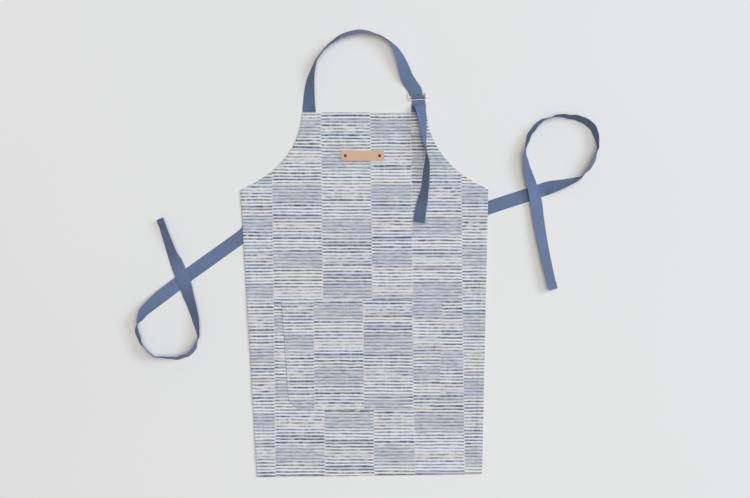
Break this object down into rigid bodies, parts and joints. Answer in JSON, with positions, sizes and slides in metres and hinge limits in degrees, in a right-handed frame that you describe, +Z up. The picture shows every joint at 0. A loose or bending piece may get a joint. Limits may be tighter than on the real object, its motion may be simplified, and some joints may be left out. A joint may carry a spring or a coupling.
{
  "type": "bib apron",
  "caption": "Bib apron laid flat: printed cotton body with a patch pocket, riveted leather label, adjustable webbing neck strap with a metal slide, and webbing waist ties.",
  "frame": {"origin": "on the surface that the apron lies on, under the middle of the body and neck loop together", "axes": "+Z up out of the printed face, +Y from hem to neck, +X to the right when looking down at the face"},
  "size_m": [1.0415, 1.0062, 0.0329],
  "materials": {
    "print_cloth": "plain-woven cotton canvas with a brushed stripe print, matt",
    "webbing": "twill cotton webbing, matt",
    "label_leather": "natural tanned leather, satin",
    "rivet_metal": "antique copper, worn",
    "slide_metal": "polished rose copper plate",
    "pale_thread": "polyester sewing thread",
    "blue_thread": "polyester sewing thread"
  },
  "bodies": {
    "apron": {"body_panel": "print_cloth", "bib_top_hem": "print_cloth", "left_armhole_hem": "print_cloth", "right_armhole_hem": "print_cloth", "left_side_hem": "print_cloth", "right_side_hem": "print_cloth", "bottom_hem": "print_cloth", "pocket_panel": "print_cloth", "pocket_top_hem": "print_cloth", "pocket_seam_allowance": "print_cloth", "neck_strap_root": "webbing", "neck_strap": "webbing", "adjuster_strap_root": "webbing", "adjuster_strap": "webbing", "left_tie_root": "webbing", "right_tie_root": "webbing", "leather_label": "label_leather", "left_rivet": "rivet_metal", "right_rivet": "rivet_metal", "left_rivet_washer": "rivet_metal", "right_rivet_washer": "rivet_metal", "pocket_left_bar_tack": "pale_thread", "pocket_right_bar_tack": "pale_thread", "neck_strap_stitch_box": "pale_thread", "adjuster_strap_stitch_box": "pale_thread", "left_tie_stitch_box": "pale_thread", "right_tie_stitch_box": "pale_thread"},
    "adjuster": {"slide_buckle": "slide_metal", "neck_strap_end_loop": "webbing", "adjuster_strap_bend": "webbing", "end_loop_stitch_row": "blue_thread"},
    "tail": {"adjuster_strap_tail": "webbing", "tail_end_fold": "webbing"},
    "left_tie": {"left_tie": "webbing", "left_tie_end_fold": "webbing"},
    "right_tie": {"right_tie": "webbing", "right_tie_end_fold": "webbing"}
  },
  "joints": [
    {"name": "adjuster_travel", "type": "slide", "parent": "apron", "child": "adjuster", "axis": [0, 1, 0], "range_m": [-0.018, 0.06], "deforming": ["neck_strap", "adjuster_strap"]},
    {"name": "tail_travel", "type": "slide", "parent": "adjuster", "child": "tail", "axis": [0, 1, 0], "range_m": [-0.018, 0.06], "deforming": ["adjuster_strap_tail"]},
    {"name": "left_tie_fold", "type": "hinge", "parent": "apron", "child": "left_tie", "pos_m": [-0.2899, 0.02618, 0.0015], "axis": [-0.5833, 0.8123, 0], "range_deg": [0, 150]},
    {"name": "right_tie_fold", "type": "hinge", "parent": "apron", "child": "right_tie", "pos_m": [0.28855, 0.10443, 0.0015], "axis": [0.3318, -0.9433, 0], "range_deg": [0, 150]}
  ],
  "couplings": [
    {"joint": "tail_travel", "follows": "adjuster_travel", "ratio": 1}
  ]
}
